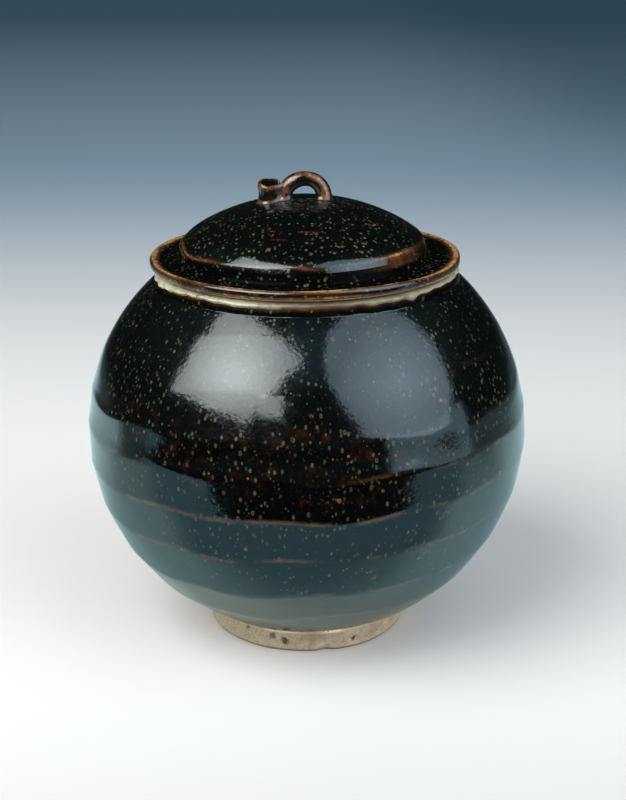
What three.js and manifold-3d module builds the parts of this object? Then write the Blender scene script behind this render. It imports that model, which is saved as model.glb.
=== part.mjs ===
// A covered storage jar in dark-glazed stoneware, built up the way a potter builds it.
//
// A globular thrown jar stands on a turned foot ring and ends in a short bare lip. A thrown cover, with a
// domed top, a channelled brim and a locating flange, drops into the mouth. A rolled coil of clay is luted
// on the dome as a small loop, and the strip's tail is rolled up beside it. Each coat of glaze is a skin of
// its own: on the jar's outside, on its inside and over the cover. It stops short of the foot, the lip and
// the seat of the cover, which stay bare clay.
//
// Millimetres, +Z up. The origin is the centre of the ring that the foot stands on. The loop lies in the XZ
// plane, with the rolled tail on its -X side.
import * as THREE from 'three';
import { mergeVertices } from 'three/addons/utils/BufferGeometryUtils.js';
import Module from 'manifold-3d';

// Jar: the wall is part of a spheroid between the foot and the lip
const BELLY_RADIUS = 72.5; // widest radius, over the glaze
const BELLY_RISE = 69.1; // half the height that the whole spheroid would have, over the glaze
const WALL = 4.6;
const FLOOR = 6;
const FOOT_RADIUS = 33.6; // where the foot meets the wall
const FOOT_TAPER = 0.6; // the foot is this much smaller in radius where it stands
const FOOT_HEIGHT = 8.25;
const FOOT_RING = 7; // width of the ring that it stands on
const FOOT_RECESS = 3; // the base inside the ring is cut this far up
const FOOT_CHAMFER = 0.8;
const LIP_RADIUS = 48.6;
const LIP_HEIGHT = 4.2;
const LIP_WALL = 4.6;
const LIP_ROUND = 0.9;

// Throwing ridges: crests lie on the spheroid, and the finger grooves between them are pressed in
const RIDGE_FIRST = 23.6; // height of the lowest crest
const RIDGE_PITCH = 13.2;
const RIDGE_COUNT = 6;
const RIDGE_RELIEF = 0.45;

// Glaze skins
const GLAZE = 0.5;
const GLAZE_GAP = 0.2; // between a skin and the clay that it covers
const GLAZE_FOOT_MARGIN = 1.1; // bare wall above the foot
const GLAZE_ON_LIP = 1.2; // the outer skin runs this far up the lip

// Cover: the brim overhangs the lip, and its slope, the channel's floor and the dome follow inwards from it
const BRIM_OVERHANG = 1.7;
const BRIM_RADIUS = LIP_RADIUS + BRIM_OVERHANG;
const BRIM_THICKNESS = 3.5; // from the seat to the crest
const BRIM_CREST_ROUND = 1.1; // between the crest and the brim's upright face
const BRIM_FACE = 2.15; // below the crest, where the face starts to turn under
const BRIM_FOOT_ROUND = 0.9;
const BRIM_FOOT_TURN = THREE.MathUtils.degToRad(60); // how far the glazed edge turns under
const BRIM_SEAT_MARGIN = 1.6; // the flat seat stops this far inside the brim's edge
const BRIM_SLOPE = 4.2; // width of the rise from the channel's floor to the crest
const CHANNEL_RADIUS = BRIM_RADIUS - BRIM_CREST_ROUND - BRIM_SLOPE;
const CHANNEL_DEPTH = 0.9; // below the crest
const CHANNEL_FLOOR = 4.8; // width of the level floor round the dome's step
const DOME_RADIUS = CHANNEL_RADIUS - CHANNEL_FLOOR;
const DOME_STEP = 2.9; // edge of the dome above the brim's crest
const STEP_FILLET = 0.8; // between the upright step under the dome and the channel
const DOME_RISE = 15; // apex above the dome's edge
const DOME_SIDE = 0.42; // share of the rise along which the dome's side leaves its edge upright
const COVER_WALL = 3.6;
const FLANGE_CLEARANCE = 0.9; // between the flange and the mouth
const FLANGE_WALL = 4.2;
const FLANGE_DEPTH = 6.5;
const SEAT_GAP = 0.25; // between the cover's seat and the lip

// Handle: a round coil bent into a half ring, and a hollow-faced strip rolled into a collar beside it
const COIL_DIAMETER = 4.6;
const LOOP_RADIUS = 5.8; // of the coil's centre line
const LOOP_LIFT = 0.3; // centre of the half ring above the dome's apex
const TAIL_RADIUS = 3.75; // over the raised lips along the strip's two edges
const TAIL_STRIP = 1.5;
const TAIL_LIP = 1.4; // height of each raised lip
const TAIL_HOLLOW = 0.5; // the strip's face lies this far below its lips
const TAIL_EDGE_ROUND = 0.35;
const TAIL_LAP = 0.5; // the roll is pressed this far round the loop's leg
const TAIL_HEIGHT = 4.8; // middle of the tail's rim above the dome's apex
const TAIL_SLANT = THREE.MathUtils.degToRad(6); // the rim rises away from the front
const TAIL_SLOT = THREE.MathUtils.degToRad(28); // where the roll stays open, behind the loop's leg
const LUTE_GAP = 0.25; // joint between the handle and what it is luted to

// Facets
const AROUND = 40;
const FOOT_STEPS = 2;
const SHOULDER_STEPS = 5;
const LINING_STEPS = 8;
const DOME_STEPS = 7;
const FILLET_STEPS = 2;
const RIM_STEPS = 3;
const CREST_STEPS = 3;
const COIL_SIDES = 12;
const LOOP_STEPS = 18;
const TAIL_STEPS = 20;

// Heights and radii that follow from the sizes above
const COAT = GLAZE + GLAZE_GAP;
const clayRadius = BELLY_RADIUS - COAT;
const clayRise = BELLY_RISE - COAT;
const bellyHeight = FOOT_HEIGHT + clayRise * Math.sqrt(1 - (FOOT_RADIUS / clayRadius) ** 2);
const shoulderTop = bellyHeight + clayRise * Math.sqrt(1 - (LIP_RADIUS / clayRadius) ** 2);
const lipTop = shoulderTop + LIP_HEIGHT;
const mouthRadius = LIP_RADIUS - LIP_WALL;
const floorTop = FOOT_RECESS + FLOOR;
const seat = lipTop + SEAT_GAP;
const crest = seat + BRIM_THICKNESS;
const domeEdge = crest + DOME_STEP;
const apex = domeEdge + DOME_RISE;
const clayApex = apex - COAT;
const tailCentre = -(LOOP_RADIUS + COIL_DIAMETER / 2 + LUTE_GAP + TAIL_RADIUS - TAIL_LAP);

const clay = new THREE.MeshStandardMaterial({ color: 0xb8a58b, roughness: 0.85, metalness: 0 });
const blackGlaze = new THREE.MeshStandardMaterial({ color: 0x17120e, roughness: 0.12, metalness: 0 });
const brownGlaze = new THREE.MeshStandardMaterial({ color: 0x4a2a16, roughness: 0.2, metalness: 0 });

const wasm = await Module();
wasm.setup();

const point = (radius, height) => new THREE.Vector2(radius, height);

// A closed profile of (radius, height) points, turned about the Z axis.
function revolve(profile) {
  return new THREE.LatheGeometry(profile, AROUND).rotateX(Math.PI / 2);
}

// A path moved sideways by a distance, to the right of its direction of travel, with mitred corners.
function offsetPath(path, distance) {
  const headings = path.slice(1).map((next, i) => next.clone().sub(path[i]).normalize());
  return path.map((here, i) => {
    const arriving = headings[Math.max(i - 1, 0)];
    const leaving = headings[Math.min(i, headings.length - 1)];
    const along = arriving.clone().add(leaving).normalize();
    const mitre = distance / along.dot(leaving);
    return point(here.x + along.y * mitre, here.y - along.x * mitre);
  });
}

// The closed ring between a path and the same path moved sideways.
function skinProfile(path, near, far) {
  const inner = offsetPath(path, near);
  const outer = offsetPath(path, far);
  return [...outer, ...inner.reverse(), outer[0]];
}

function toSolid(geometry) {
  const bare = geometry.clone();
  bare.deleteAttribute('normal');
  bare.deleteAttribute('uv');
  const merged = mergeVertices(bare, 1e-4);
  return new wasm.Manifold(new wasm.Mesh({
    numProp: 3,
    vertProperties: merged.attributes.position.array,
    triVerts: new Uint32Array(merged.index.array),
  }));
}

function toGeometry(solid) {
  const { vertProperties, triVerts } = solid.getMesh();
  return new THREE.BufferGeometry()
    .setAttribute('position', new THREE.BufferAttribute(vertProperties, 3))
    .setIndex(new THREE.BufferAttribute(triVerts, 1));
}

function piece(name, geometry, material) {
  const mesh = new THREE.Mesh(geometry, material);
  mesh.name = name;
  return mesh;
}

// A point of a spheroid about the belly's centre, at an angle above the horizontal.
function spheroidPoint(radius, rise, angle) {
  return point(radius * Math.cos(angle), bellyHeight + rise * Math.sin(angle));
}

// Points of a spheroid at evenly spaced angles, without the first.
function spheroidArc(radius, rise, from, to, steps) {
  return Array.from({ length: steps }, (_, i) =>
    spheroidPoint(radius, rise, THREE.MathUtils.lerp(from, to, (i + 1) / steps)));
}

// The jar's clay surface from the foot up to the shoulder's corner. The second point is where the glaze starts.
function clayWall() {
  const angleAt = (height) => Math.asin((height - bellyHeight) / clayRise);
  const atHeight = (height, pressed) => point(
    clayRadius * Math.cos(angleAt(height)) - pressed, height);
  const glazeLine = FOOT_HEIGHT + GLAZE_FOOT_MARGIN;
  const wall = [atHeight(FOOT_HEIGHT, 0), atHeight(glazeLine, 0)];
  wall.push(...spheroidArc(clayRadius, clayRise, angleAt(glazeLine), angleAt(RIDGE_FIRST), FOOT_STEPS));
  for (let ridge = 1; ridge < RIDGE_COUNT; ridge++) {
    const height = RIDGE_FIRST + ridge * RIDGE_PITCH;
    wall.push(atHeight(height - RIDGE_PITCH / 2, RIDGE_RELIEF), atHeight(height, 0));
  }
  const lastRidge = RIDGE_FIRST + (RIDGE_COUNT - 1) * RIDGE_PITCH;
  wall.push(...spheroidArc(clayRadius, clayRise, angleAt(lastRidge), angleAt(shoulderTop), SHOULDER_STEPS));
  return wall;
}

// The inside of the jar from the mouth's lower corner down to the edge of the floor.
function insideWall() {
  const radius = clayRadius - WALL;
  const rise = clayRise - WALL;
  const mouthAngle = Math.acos(mouthRadius / radius);
  const floorAngle = Math.asin((floorTop - bellyHeight) / rise);
  return [spheroidPoint(radius, rise, mouthAngle),
    ...spheroidArc(radius, rise, mouthAngle, floorAngle, LINING_STEPS)];
}

function jarBody() {
  const standing = FOOT_RADIUS - FOOT_TAPER;
  const ringInside = standing - FOOT_RING;
  const profile = [
    point(0, FOOT_RECESS),
    point(ringInside, FOOT_RECESS),
    point(ringInside, 0),
    point(standing - FOOT_CHAMFER, 0),
    point(standing, FOOT_CHAMFER),
    ...clayWall(),
    point(LIP_RADIUS, lipTop - LIP_ROUND),
    point(LIP_RADIUS - LIP_ROUND, lipTop),
    point(mouthRadius + LIP_ROUND, lipTop),
    point(mouthRadius, lipTop - LIP_ROUND),
    ...insideWall(),
    point(0, floorTop),
  ];
  return piece('jar_body', revolve(profile), clay);
}

// Dark outer skin, from just above the foot to the lower part of the lip.
function jarGlaze() {
  const covered = [...clayWall().slice(1), point(LIP_RADIUS, shoulderTop + GLAZE_ON_LIP)];
  return piece('jar_glaze', revolve(skinProfile(covered, GLAZE_GAP, COAT)), blackGlaze);
}

// Brown inner skin over the wall and floor. The neck above it stays bare for the cover's flange.
function liningGlaze() {
  const covered = [...insideWall(), point(0, floorTop)];
  const under = offsetPath(covered, GLAZE_GAP).reverse();
  const over = offsetPath(covered, COAT);
  under[0].x = 0;
  over.at(-1).x = 0;
  return piece('lining_glaze', revolve([...under, ...over]), brownGlaze);
}

// Half profile of a dome: level at its apex, upright at its edge, and a little less full than an ellipse.
function domeArc(radius, edge, top) {
  const side = THREE.MathUtils.lerp(edge, top, DOME_SIDE);
  const curve = new THREE.CubicBezierCurve(
    point(0, top), point(radius / 2, top), point(radius, side), point(radius, edge));
  return curve.getPoints(DOME_STEPS);
}

// The cover's finished top, from the apex over the dome, its step, the channel and the brim to the underside of
// the brim's edge.
function coverTop() {
  const channel = crest - CHANNEL_DEPTH;
  const crestCentre = point(BRIM_RADIUS - BRIM_CREST_ROUND, crest - BRIM_CREST_ROUND);
  const footCentre = point(BRIM_RADIUS - BRIM_FOOT_ROUND, crest - BRIM_FACE);
  const fillet = new THREE.QuadraticBezierCurve(
    point(DOME_RADIUS, channel + STEP_FILLET),
    point(DOME_RADIUS, channel),
    point(DOME_RADIUS + STEP_FILLET, channel));
  const rimSide = new THREE.QuadraticBezierCurve(
    point(CHANNEL_RADIUS, channel),
    point((CHANNEL_RADIUS + crestCentre.x) / 2, channel),
    point(crestCentre.x, crest));
  const crestRound = new THREE.EllipseCurve(
    crestCentre.x, crestCentre.y, BRIM_CREST_ROUND, BRIM_CREST_ROUND, Math.PI / 2, 0, true);
  const footRound = new THREE.EllipseCurve(
    footCentre.x, footCentre.y, BRIM_FOOT_ROUND, BRIM_FOOT_ROUND, 0, -BRIM_FOOT_TURN, true);
  return [
    ...domeArc(DOME_RADIUS, domeEdge, apex),
    ...fillet.getPoints(FILLET_STEPS),
    ...rimSide.getPoints(RIM_STEPS),
    ...crestRound.getPoints(CREST_STEPS).slice(1),
    ...footRound.getPoints(FILLET_STEPS),
  ];
}

// The clay under the cover's glaze: the finished top moved in by the coat's thickness.
function coverClayTop() {
  const path = offsetPath(coverTop(), COAT);
  path[0].x = 0;
  return path;
}

function coverBody() {
  const flangeOutside = mouthRadius - FLANGE_CLEARANCE;
  const flangeInside = flangeOutside - FLANGE_WALL;
  const seatOutside = BRIM_RADIUS - BRIM_SEAT_MARGIN;
  const inset = COAT + COVER_WALL;
  const profile = [
    ...coverClayTop(),
    point(seatOutside, seat),
    point(flangeOutside, seat),
    point(flangeOutside, seat - FLANGE_DEPTH),
    point(flangeInside, seat - FLANGE_DEPTH),
    point(flangeInside, seat),
    ...domeArc(DOME_RADIUS - inset, domeEdge - COVER_WALL, apex - inset).reverse(),
  ];
  return piece('cover_body', revolve(profile.reverse()), clay);
}

// An upright round bar through the dome, as wide as a foot of the handle and its joint.
function footClearance(x, radius) {
  const bar = new THREE.CylinderGeometry(radius, radius, 2 * DOME_RISE, 2 * COIL_SIDES);
  return toSolid(bar.rotateX(Math.PI / 2).translate(x, 0, apex));
}

// Dark skin over the cover's top and edge, open where the handle is luted to the clay.
function coverGlaze() {
  const under = offsetPath(coverTop(), GLAZE);
  under[0].x = 0;
  const skin = toSolid(revolve([...under, ...coverTop().reverse()]));
  const opened = skin
    .subtract(footClearance(LOOP_RADIUS, COIL_DIAMETER / 2 + LUTE_GAP))
    .subtract(footClearance(-LOOP_RADIUS, COIL_DIAMETER / 2 + LUTE_GAP))
    .subtract(footClearance(tailCentre, TAIL_RADIUS + LUTE_GAP));
  return piece('cover_glaze', toGeometry(opened), blackGlaze);
}

// Everything below the clay dome and the lute, to trim the feet of the handle.
function belowTheLute() {
  const surface = offsetPath(domeArc(DOME_RADIUS - COAT, domeEdge - COAT, clayApex), -LUTE_GAP);
  surface[0].x = 0;
  const edge = surface.at(-1);
  return toSolid(revolve([...surface, point(edge.x, seat), point(0, seat)].reverse()));
}

// Centre line of the loop: up one leg, round a half ring and down the other leg.
class LoopCurve extends THREE.Curve {
  constructor(radius, centreHeight, legLength) {
    super();
    this.radius = radius;
    this.centreHeight = centreHeight;
    this.legLength = legLength;
  }

  getPoint(t, target = new THREE.Vector3()) {
    const half = Math.PI * this.radius;
    const run = t * (half + 2 * this.legLength);
    const turned = THREE.MathUtils.clamp((run - this.legLength) / half, 0, 1) * Math.PI;
    const below = Math.max(this.legLength - run, run - this.legLength - half, 0);
    return target.set(
      this.radius * Math.cos(turned), 0, this.centreHeight + this.radius * Math.sin(turned) - below);
  }
}

function loopHandle() {
  const legLength = LOOP_LIFT + COAT + COIL_DIAMETER / 2;
  const section = new THREE.Shape().absarc(0, 0, COIL_DIAMETER / 2, 0, 2 * Math.PI);
  const coil = new THREE.ExtrudeGeometry(section, {
    steps: LOOP_STEPS,
    curveSegments: COIL_SIDES,
    extrudePath: new LoopCurve(LOOP_RADIUS, apex + LOOP_LIFT, legLength),
  });
  return piece('loop_handle', toGeometry(toSolid(coil).subtract(belowTheLute())), brownGlaze);
}

// Height of the finished dome at a distance from the axis.
function domeHeight(radius) {
  const arc = domeArc(DOME_RADIUS, domeEdge, apex);
  const next = Math.max(arc.findIndex((here) => here.x >= radius), 1);
  return THREE.MathUtils.mapLinear(radius, arc[next - 1].x, arc[next].x, arc[next - 1].y, arc[next].y);
}

// A solid through upright sections of (radius, height) points, each at its own angle about an upright axis.
function loftAbout(axisX, sections, angles) {
  const count = sections[0].length;
  const positions = sections.flatMap((section, s) => section.flatMap((here) => [
    axisX + here.x * Math.cos(angles[s]), here.x * Math.sin(angles[s]), here.y]));
  const capAt = (s) => THREE.ShapeUtils.triangulateShape(sections[s], []).map(
    (corners) => corners.map((corner) => s * count + corner));
  const triangles = [...capAt(0), ...capAt(sections.length - 1).map((corners) => corners.reverse())];
  for (let s = 0; s + 1 < sections.length; s++) {
    for (let k = 0; k < count; k++) {
      const here = s * count + k;
      const above = s * count + (k + 1) % count;
      triangles.push([here, here + count, above + count], [here, above + count, above]);
    }
  }
  return new THREE.BufferGeometry()
    .setAttribute('position', new THREE.Float32BufferAttribute(positions, 3))
    .setIndex(triangles.flat());
}

// A strip rolled into an upright collar beside the loop's leg, open on one side. It has raised lips along its
// foot, which follows the dome, and along its slanting rim, and a hollow face between them.
function curledTail() {
  const angles = Array.from({ length: TAIL_STEPS + 1 }, (_, i) =>
    TAIL_SLOT + (i / TAIL_STEPS) * (2 * Math.PI - TAIL_SLOT));
  const inside = TAIL_RADIUS - TAIL_STRIP;
  const face = TAIL_RADIUS - TAIL_HOLLOW;
  const sections = angles.map((angle) => {
    const y = TAIL_RADIUS * Math.sin(angle);
    const foot = domeHeight(Math.hypot(tailCentre + TAIL_RADIUS * Math.cos(angle), y));
    const rim = apex + TAIL_HEIGHT + y * Math.tan(TAIL_SLANT);
    return [
      point(TAIL_RADIUS, domeEdge),
      point(TAIL_RADIUS, foot + TAIL_LIP / 2),
      point(face, foot + TAIL_LIP),
      point(face, rim - TAIL_LIP),
      point(TAIL_RADIUS, rim - TAIL_LIP / 2),
      point(TAIL_RADIUS - TAIL_EDGE_ROUND, rim),
      point(inside + TAIL_EDGE_ROUND, rim),
      point(inside, rim - TAIL_EDGE_ROUND),
      point(inside, domeEdge),
    ];
  });
  const roll = toSolid(loftAbout(tailCentre, sections, angles))
    .subtract(belowTheLute())
    .subtract(footClearance(-LOOP_RADIUS, COIL_DIAMETER / 2 + LUTE_GAP));
  return piece('curled_tail', toGeometry(roll), brownGlaze);
}

const jar = new THREE.Group();
jar.add(jarBody(), jarGlaze(), liningGlaze());
const cover = new THREE.Group();
cover.add(coverBody(), coverGlaze(), loopHandle(), curledTail());
const coveredJar = new THREE.Group();
coveredJar.add(jar, cover);

export default coveredJar;
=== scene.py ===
# %% [markdown]
# # A covered jar in black glaze
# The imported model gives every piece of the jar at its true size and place: clay, coats of glaze, cover and
# handle. This notebook builds the fine surface of each piece over that frame. Almost every form here was
# turned on a wheel, so almost every piece is a profile carried round an axis, with small unevenness added.

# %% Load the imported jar
import math

import bpy
import numpy as np
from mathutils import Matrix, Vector


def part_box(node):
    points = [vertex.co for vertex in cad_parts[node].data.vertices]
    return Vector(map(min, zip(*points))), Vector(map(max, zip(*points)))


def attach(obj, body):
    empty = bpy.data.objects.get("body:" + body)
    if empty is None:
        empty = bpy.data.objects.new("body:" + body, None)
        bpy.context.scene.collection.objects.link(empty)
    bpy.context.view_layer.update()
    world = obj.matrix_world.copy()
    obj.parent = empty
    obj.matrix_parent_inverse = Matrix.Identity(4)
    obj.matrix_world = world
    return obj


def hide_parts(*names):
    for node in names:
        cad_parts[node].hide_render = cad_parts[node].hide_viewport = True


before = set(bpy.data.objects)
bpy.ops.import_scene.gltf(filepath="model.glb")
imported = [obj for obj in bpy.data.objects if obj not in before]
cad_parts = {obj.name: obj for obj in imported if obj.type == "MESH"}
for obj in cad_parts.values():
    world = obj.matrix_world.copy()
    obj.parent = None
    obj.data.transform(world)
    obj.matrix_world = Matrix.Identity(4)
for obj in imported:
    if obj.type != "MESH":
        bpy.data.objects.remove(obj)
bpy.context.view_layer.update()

# %% [markdown]
# ## Sizes
# Profiles are easier to read in millimetres, so lengths are in millimetres until a mesh is made. Heights
# and radii that the frame states are read from it. The rest are the wall and edge sizes of the same jar.

# %% Sizes read from the frame, and the wall's own sizes
MM = 0.001


def node_top(node):
    """The highest corner of a node's box, in millimetres: x is its radius and z its height."""
    return np.array(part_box(node)[1]) / MM


LIP_TOP = node_top("jar_body")[2]
BRIM_WAVER = 0.3
BRIM_RADIUS = node_top("cover_glaze")[0] - BRIM_WAVER  # its mean, less than its widest
DOME_APEX = node_top("cover_glaze")[2]
LOOP_TOP = node_top("loop_handle")[2]
LOOP_OUTSIDE = node_top("loop_handle")[0]

BELLY_RADIUS = 71.8  # clay, under the coat
BELLY_RISE = 68.4
BELLY_HEIGHT = 68.7
COAT = 0.7
WALL = 4.6
FLOOR_TOP = 9.0
FOOT_RADIUS = 33.6
FOOT_STANDING = 33.0
FOOT_HEIGHT = 8.25
FOOT_RING = 7.0
FOOT_RECESS = 3.0
LIP_RADIUS = 48.6
LIP_WALL = 4.6
SHOULDER_TOP = BELLY_HEIGHT + BELLY_RISE * math.sqrt(1 - (LIP_RADIUS / BELLY_RADIUS) ** 2)
MOUTH_RADIUS = LIP_RADIUS - LIP_WALL
SEAT_GAP = 0.25
SEAT = LIP_TOP + SEAT_GAP
NEAR_AXIS = 0.3  # paths end this far from the axis, and a fan closes what is left
print("lip", round(LIP_TOP, 2), "apex", round(DOME_APEX, 2), "loop", round(LOOP_TOP, 2))

# %% [markdown]
# ## Rings of points
# A turned form is a grid: rows along its profile, steps round its axis. One function joins such a grid
# into a closed mesh, with whole arrays and no loop over points. It turns the faces outwards by the sign of
# the volume that they enclose, which is surer than asking Blender to guess. Marks are numbers kept at each
# point, such as where the glaze runs thin, for a material to read.

# %% A closed piece from rings
AROUND = 360
ANGLE = np.linspace(0, 2 * np.pi, AROUND, endpoint=False)
FRONT = -np.pi / 2


def closed_piece(name, rings, capped, marks=None):
    """Joins rings[row, step] into quads between neighbouring rows and steps. A capped piece gets a fan from
    each end row to that row's middle; otherwise the last row joins the first, as a tyre's section does."""
    rows, around = rings.shape[:2]
    index = np.arange(rows * around).reshape(rows, around)
    lower = index[:-1] if capped else index
    upper = index[1:] if capped else np.roll(index, -1, axis=0)
    quads = np.stack([lower, np.roll(lower, -1, 1), np.roll(upper, -1, 1), upper], axis=-1).reshape(-1, 4)
    points = rings.reshape(-1, 3)
    fans = np.zeros((0, 3), int)
    if capped:
        points = np.vstack([points, rings[0].mean(0), rings[-1].mean(0)])
        start = np.stack([np.roll(index[0], -1), index[0], np.full(around, len(points) - 2)], axis=1)
        end = np.stack([index[-1], np.roll(index[-1], -1), np.full(around, len(points) - 1)], axis=1)
        fans = np.vstack([start, end])
    thirds = np.vstack([quads[:, [0, 1, 2]], quads[:, [0, 2, 3]], fans])
    a, b, c = (points[thirds[:, k]] for k in range(3))
    volume = np.einsum("ij,ij->", a, np.cross(b, c)) / 6
    if volume < 0:
        quads, fans = quads[:, ::-1], fans[:, ::-1]
    corners = np.concatenate([quads.ravel(), fans.ravel()])
    starts = np.concatenate([np.arange(len(quads)) * 4, len(quads) * 4 + np.arange(len(fans)) * 3])
    mesh = bpy.data.meshes.new(name)
    mesh.vertices.add(len(points))
    mesh.vertices.foreach_set("co", (points * MM).astype(np.float32).ravel())
    mesh.loops.add(len(corners))
    mesh.loops.foreach_set("vertex_index", corners.astype(np.int32))
    mesh.polygons.add(len(starts))
    mesh.polygons.foreach_set("loop_start", starts.astype(np.int32))
    mesh.polygons.foreach_set("use_smooth", np.ones(len(starts), bool))
    for label, values in (marks or {}).items():
        values = np.broadcast_to(values, (rows, around))
        ends = [values[0].mean(), values[-1].mean()] if capped else []
        layer = mesh.attributes.new(label, "FLOAT", "POINT")
        layer.data.foreach_set("value", np.concatenate([values.ravel(), ends]).astype(np.float32))
    mesh.update(calc_edges=True)
    mesh.validate()
    piece = bpy.data.objects.new(name, mesh)
    bpy.context.scene.collection.objects.link(piece)
    print(name, len(thirds), "triangles,", round(abs(volume) / 1000, 2), "cm3")
    return piece


def second_finish(piece, chosen):
    """Gives the chosen quads, in an array of rows by steps, the piece's second material."""
    finish = np.zeros(len(piece.data.polygons), np.int32)
    finish[:chosen.size] = chosen.ravel()
    piece.data.polygons.foreach_set("material_index", finish)
    print(piece.name, int(finish.sum()), "faces in the second finish")


def turned(radius, height, angle=ANGLE):
    """Points at (radius cos angle, radius sin angle, height), for arrays of rows by steps."""
    radius, height, angle = np.broadcast_arrays(radius, height, angle)
    return np.stack([radius * np.cos(angle), radius * np.sin(angle), height], axis=-1)


# %% [markdown]
# ## Drawing profiles
# A profile is a short list of corners with rounded turns, a stretch of the belly's spheroid, or a Bezier
# curve. Each is resampled evenly along its length, so that rows are as close as the detail needs.

# %% Profile helpers
def smooth(value, low, high):
    """Rises from 0 at low to 1 at high as 3t^2 - 2t^3."""
    t = np.clip((value - low) / (high - low), 0, 1)
    return t * t * (3 - 2 * t)


def bump(distance, width):
    """A bell of height 1 that falls off with the square of distance over width."""
    return np.exp(-(distance / width) ** 2)


def bezier(*controls, count=40):
    """A quadratic or cubic Bezier curve: control points weighted by the terms of (1 - t + t)^n."""
    t = np.linspace(0, 1, count)[:, None]
    degree = len(controls) - 1
    terms = [math.comb(degree, k) * (1 - t) ** (degree - k) * t ** k for k in range(degree + 1)]
    return sum(term * np.array(control, float) for term, control in zip(terms, controls))


def rounded(corners, reach):
    """A path through corners, each turned by a quadratic Bezier that starts and ends `reach` away from it."""
    corners = np.array(corners, float)
    path = [corners[:1]]
    for before, here, after in zip(corners, corners[1:], corners[2:]):
        into, out = before - here, after - here
        start = here + into * min(reach / np.linalg.norm(into), 0.5)
        end = here + out * min(reach / np.linalg.norm(out), 0.5)
        path.append(bezier(start, here, end, count=9))
    path.append(corners[-1:])
    return np.vstack(path)


def lengths(path):
    """Distance along a path at each of its points."""
    return np.concatenate([[0], np.cumsum(np.linalg.norm(np.diff(path, axis=0), axis=1))])


def spaced(path, count):
    """The same path as `count` points at even distances along it."""
    run = lengths(path)
    at = np.linspace(0, run[-1], count)
    return np.stack([np.interp(at, run, path[:, k]) for k in range(2)], axis=1)


def normals(path):
    """Unit normals of a path, to the right of its direction of travel."""
    along = np.gradient(path, axis=0)
    along /= np.linalg.norm(along, axis=1)[:, None]
    return np.stack([along[:, 1], -along[:, 0]], axis=1)


def belly(height, inset=0.0):
    """Radius of the spheroid at a height: R sqrt(1 - ((z - centre) / H)^2), with both axes inset alike."""
    rise = np.clip((height - BELLY_HEIGHT) / (BELLY_RISE - inset), -1, 1)
    return (BELLY_RADIUS - inset) * np.sqrt(1 - rise ** 2)


# %% [markdown]
# ## The hand in the form
# A thrown pot is never quite round. A few slow sine waves round the axis, each a whole number of waves so
# that the form closes, bend the reflections the way hands and drying do. The whole mouth also settled a
# little to one side in the kiln, and the cover that was fired on it follows.

# %% Unevenness and lean
LEAN = (0.008, 0.009)
LEAN_HEIGHTS = (98.8, 117.8)
COVER_PLAY = -0.6  # slide of the cover in its seat; its handle stands that far off its middle


def uneven(angle, along, size, orders, seed, twist=0.06):
    """Sum over orders n of a_n sin(n angle + k_n along + p_n), with drawn a, k and p, scaled to `size`."""
    draw = np.random.default_rng(seed)
    total = 0
    for order in orders:
        weight, slope, shift = draw.normal(), draw.normal() * twist, draw.uniform(0, 2 * np.pi)
        total = total + weight * np.sin(order * angle + slope * along + shift)
    return size * total / math.sqrt(len(orders) / 2)


def leaned(rings, slide=0.0):
    """Tips the mouth by a small turn about the lip's middle: z grows by LEAN . xy while x and y fall by LEAN
    times the height above the lip. The turn fades in over the upper shoulder."""
    x, y, z = np.moveaxis(rings, -1, 0)
    share = smooth(z, *LEAN_HEIGHTS)
    above = share * (z - LIP_TOP)
    raised = share * (LEAN[0] * x + LEAN[1] * y)
    return np.stack([x - LEAN[0] * above + slide, y - LEAN[1] * above, z + raised], axis=-1)


# %% [markdown]
# ## The thrown jar
# The clay shows at the foot, on the lip and in the neck; elsewhere the coats of glaze hide it. The foot
# was turned with a tool, stands on a ring and has lost a chip at the front, where lumps of iron also burst
# out of the clay. On the lip lies a wash of pale slip that ran a little way down and set in a soft bead,
# so its lower edge wanders. The mark "slip" says where the wash lies; it is lowered at the front and on
# the right, which turns the lip brown and dark there as painted shade. Another mark is the pale line that
# the glaze leaves on the clay under its lower edge, brightened further by painted light that lifts the
# shade under the belly's overhang, and "iron" is where the lumps are. Each lump in the list has its angle
# to the right of the front, its height, its radius and its strength.

# %% Clay of the jar
SLIP_EDGE = 121.35
SLIP_RUNS = ((-0.9, 0.72, 0.035), (-0.95, -1.15, 0.5), (0.5, 1.05, 0.45))
# where the slip mark is lowered, so that the lip turns brown and dark: painted shade, most at the front and
# on the right
SLIP_PAINTED_SHADE = ((0.5, 0.1, 0.42), (0.2, 0.65, 0.25), (0.25, 1.1, 0.35))
SLIP_BEAD = 0.62
BEAD_SWELLS = ((0.35, -0.75, 0.5),)
BEAD_RISE = 0.95  # from the lower edge of the slip to the middle of its bead
BEAD_WIDTH = 0.75
GLAZE_LINE = 8.4
GLAZE_DRIPS = ((-0.75, 0.02, 0.06),)
CHIP = ((1.3, 0.185, 0.07),)
CHIP_HEIGHT = 0.2
CHIP_RISE = 1.3
IRON_PIT = 0.35
IRON = ((-0.345, 4.8, 1.4, 1.0), (-0.23, 3.9, 1.5, 1.0), (0.487, 3.2, 0.9, 0.9), (-0.62, 6.3, 1.7, 0.55))
PALE_LINE_ARCS = ((-0.245, 0.21), (0.275, 0.15))  # angle and half width of each stretch of the pale line
FOOT_EDGE = 0.6
LIP_EDGE = 1.1
FOOT_TOP = 13.0
HIDDEN_WALL = (13.5, 111.0)  # heights between which the coat hides the clay
HIDDEN_INSET = 0.5
SHOULDER_START = 113.0
NECK = 7.0


def beside_front(offset):
    """Signed angle from a place `offset` to the right of the front, between minus and plus half a turn."""
    return (ANGLE - FRONT - offset + np.pi) % (2 * np.pi) - np.pi


def swells(places):
    """Sum of bells round the pot. Each has its height, its angle to the right of the front and its half
    width, both in radians."""
    return sum(height * bump(beside_front(at), half_width) for height, at, half_width in places)


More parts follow.
